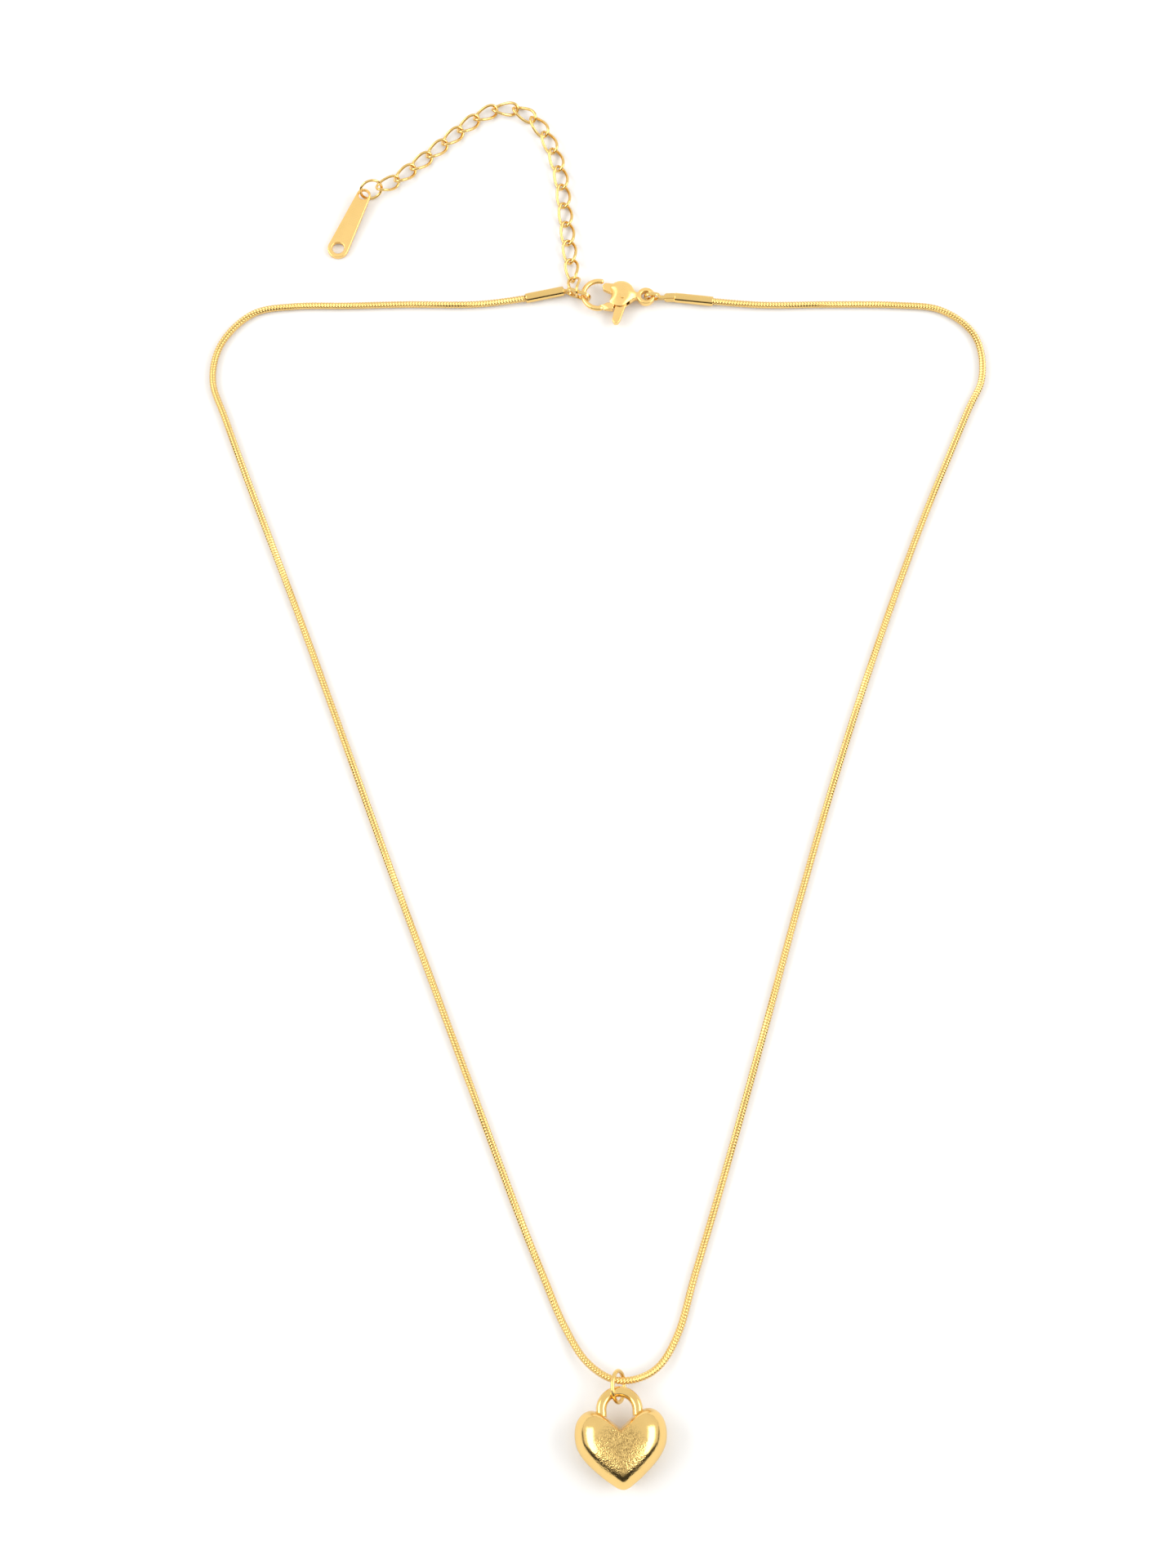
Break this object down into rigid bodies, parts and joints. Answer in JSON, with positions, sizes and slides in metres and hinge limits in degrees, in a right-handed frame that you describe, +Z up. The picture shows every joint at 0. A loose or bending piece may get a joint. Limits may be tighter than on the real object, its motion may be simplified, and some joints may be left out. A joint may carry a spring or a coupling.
{
  "type": "pendant necklace",
  "caption": "Gold snake-chain necklace with a puffed heart pendant on a jump ring, a lobster clasp and a curb-link extender ending in a plain tag, laid flat.",
  "frame": {"origin": "on the surface that the necklace lies on, under the middle of the metal pieces other than the snake chain", "axes": "+Z up from the surface, +Y from the pendant towards the clasp, +X to the right seen from above"},
  "size_m": [0.1024, 0.1875, 0.0052],
  "materials": {
    "chain": "polished gold-coloured snake chain",
    "polished": "polished gold colour",
    "satin": "satin gold colour",
    "heart": "polished gold colour with fine pitting",
    "spring": "bright spring wire"
  },
  "bodies": {
    "chain": {"snake_chain": "chain", "left_end_cap": "polished", "right_end_cap": "polished"},
    "clasp": {"clasp_body": "satin", "clasp_pin": "satin", "clasp_spring": "spring"},
    "lever": {"clasp_lever": "satin"},
    "pendant_ring": {"pendant_ring": "polished"},
    "heart": {"heart": "heart"},
    "link_01": {"link_01": "polished"},
    "link_02": {"link_02": "polished"},
    "link_03": {"link_03": "polished"},
    "link_04": {"link_04": "polished"},
    "link_05": {"link_05": "polished"},
    "link_06": {"link_06": "polished"},
    "link_07": {"link_07": "polished"},
    "link_08": {"link_08": "polished"},
    "link_09": {"link_09": "polished"},
    "link_10": {"link_10": "polished"},
    "link_11": {"link_11": "polished"},
    "link_12": {"link_12": "polished"},
    "link_13": {"link_13": "polished"},
    "link_14": {"link_14": "polished"},
    "link_15": {"link_15": "polished"},
    "link_16": {"link_16": "polished"},
    "link_17": {"link_17": "polished"},
    "link_18": {"link_18": "polished"},
    "link_19": {"link_19": "polished"},
    "tag_ring": {"tag_ring": "polished"},
    "tag": {"tag": "satin"}
  },
  "joints": [
    {"name": "clasp_swing", "type": "hinge", "parent": "chain", "child": "clasp", "pos_m": [0.0172, 0.064, 0.0011], "axis": [0, 0, 1], "range_deg": [-2, 10]},
    {"name": "lever_turn", "type": "hinge", "parent": "clasp", "child": "lever", "pos_m": [0.01408, 0.06365, 0.0011], "axis": [0, 0, 1], "range_deg": [0, 30], "stiffness_Nm_per_rad": 0.002, "springref_deg": -11.46},
    {"name": "ring_swing", "type": "hinge", "parent": "chain", "child": "pendant_ring", "pos_m": [0.0132, -0.0806, 0.00185], "axis": [-1, 0, 0], "range_deg": [0, 80]},
    {"name": "heart_swing", "type": "hinge", "parent": "pendant_ring", "child": "heart", "pos_m": [0.0131, -0.08205, 0.00263], "axis": [-1, 0, 0], "range_deg": [0, 75]},
    {"name": "link_01_swing", "type": "hinge", "parent": "chain", "child": "link_01", "pos_m": [0.00795, 0.0642, 0.00155], "axis": [0, 0, 1], "range_deg": [-20, 2]},
    {"name": "link_02_swing", "type": "hinge", "parent": "link_01", "child": "link_02", "pos_m": [0.00756, 0.06667, 0.00087], "axis": [0, 0, -1], "range_deg": [-10, 20]},
    {"name": "link_03_swing", "type": "hinge", "parent": "link_02", "child": "link_03", "pos_m": [0.00721, 0.0695, 0.0007], "axis": [0, 0, 1], "range_deg": [-20, 10]},
    {"name": "link_04_swing", "type": "hinge", "parent": "link_03", "child": "link_04", "pos_m": [0.00691, 0.07233, 0.00064], "axis": [0, 0, -1], "range_deg": [-10, 20]},
    {"name": "link_05_swing", "type": "hinge", "parent": "link_04", "child": "link_05", "pos_m": [0.00662, 0.07517, 0.00062], "axis": [0, 0, 1], "range_deg": [-20, 10]},
    {"name": "link_06_swing", "type": "hinge", "parent": "link_05", "child": "link_06", "pos_m": [0.00632, 0.078, 0.00062], "axis": [0, 0, -1], "range_deg": [-10, 20]},
    {"name": "link_07_swing", "type": "hinge", "parent": "link_06", "child": "link_07", "pos_m": [0.00607, 0.08084, 0.00062], "axis": [0, 0, 1], "range_deg": [-20, 10]},
    {"name": "link_08_swing", "type": "hinge", "parent": "link_07", "child": "link_08", "pos_m": [0.00562, 0.08365, 0.00062], "axis": [0, 0, -1], "range_deg": [-10, 20]},
    {"name": "link_09_swing", "type": "hinge", "parent": "link_08", "child": "link_09", "pos_m": [0.00484, 0.08639, 0.00062], "axis": [0, 0, 1], "range_deg": [-20, 10]},
    {"name": "link_10_swing", "type": "hinge", "parent": "link_09", "child": "link_10", "pos_m": [0.00372, 0.08902, 0.00062], "axis": [0, 0, -1], "range_deg": [-10, 20]},
    {"name": "link_11_swing", "type": "hinge", "parent": "link_10", "child": "link_11", "pos_m": [0.00209, 0.09135, 0.00062], "axis": [0, 0, 1], "range_deg": [-20, 10]},
    {"name": "link_12_swing", "type": "hinge", "parent": "link_11", "child": "link_12", "pos_m": [-0.00033, 0.09286, 0.00062], "axis": [0, 0, -1], "range_deg": [-10, 20]},
    {"name": "link_13_swing", "type": "hinge", "parent": "link_12", "child": "link_13", "pos_m": [-0.00317, 0.09276, 0.00062], "axis": [0, 0, 1], "range_deg": [-20, 20]},
    {"name": "link_14_swing", "type": "hinge", "parent": "link_13", "child": "link_14", "pos_m": [-0.00564, 0.09134, 0.00062], "axis": [0, 0, -1], "range_deg": [-20, 20]},
    {"name": "link_15_swing", "type": "hinge", "parent": "link_14", "child": "link_15", "pos_m": [-0.00779, 0.08947, 0.00062], "axis": [0, 0, 1], "range_deg": [-20, 20]},
    {"name": "link_16_swing", "type": "hinge", "parent": "link_15", "child": "link_16", "pos_m": [-0.00988, 0.08753, 0.00062], "axis": [0, 0, -1], "range_deg": [-20, 20]},
    {"name": "link_17_swing", "type": "hinge", "parent": "link_16", "child": "link_17", "pos_m": [-0.01196, 0.08558, 0.00062], "axis": [0, 0, 1], "range_deg": [-20, 20]},
    {"name": "link_18_swing", "type": "hinge", "parent": "link_17", "child": "link_18", "pos_m": [-0.01411, 0.08371, 0.00074], "axis": [0, 0, -1], "range_deg": [-20, 20]},
    {"name": "link_19_swing", "type": "hinge", "parent": "link_18", "child": "link_19", "pos_m": [-0.0162, 0.08177, 0.00104], "axis": [0, 0, 1], "range_deg": [-20, 20]},
    {"name": "tag_ring_swing", "type": "hinge", "parent": "link_19", "child": "tag_ring", "pos_m": [-0.01861, 0.08026, 0.0012], "axis": [0, 0, -1], "range_deg": [-30, 16]},
    {"name": "tag_swing", "type": "hinge", "parent": "tag_ring", "child": "tag", "pos_m": [-0.02064, 0.07932, 0.001], "axis": [0, 0, 1], "range_deg": [-30, 30]}
  ]
}
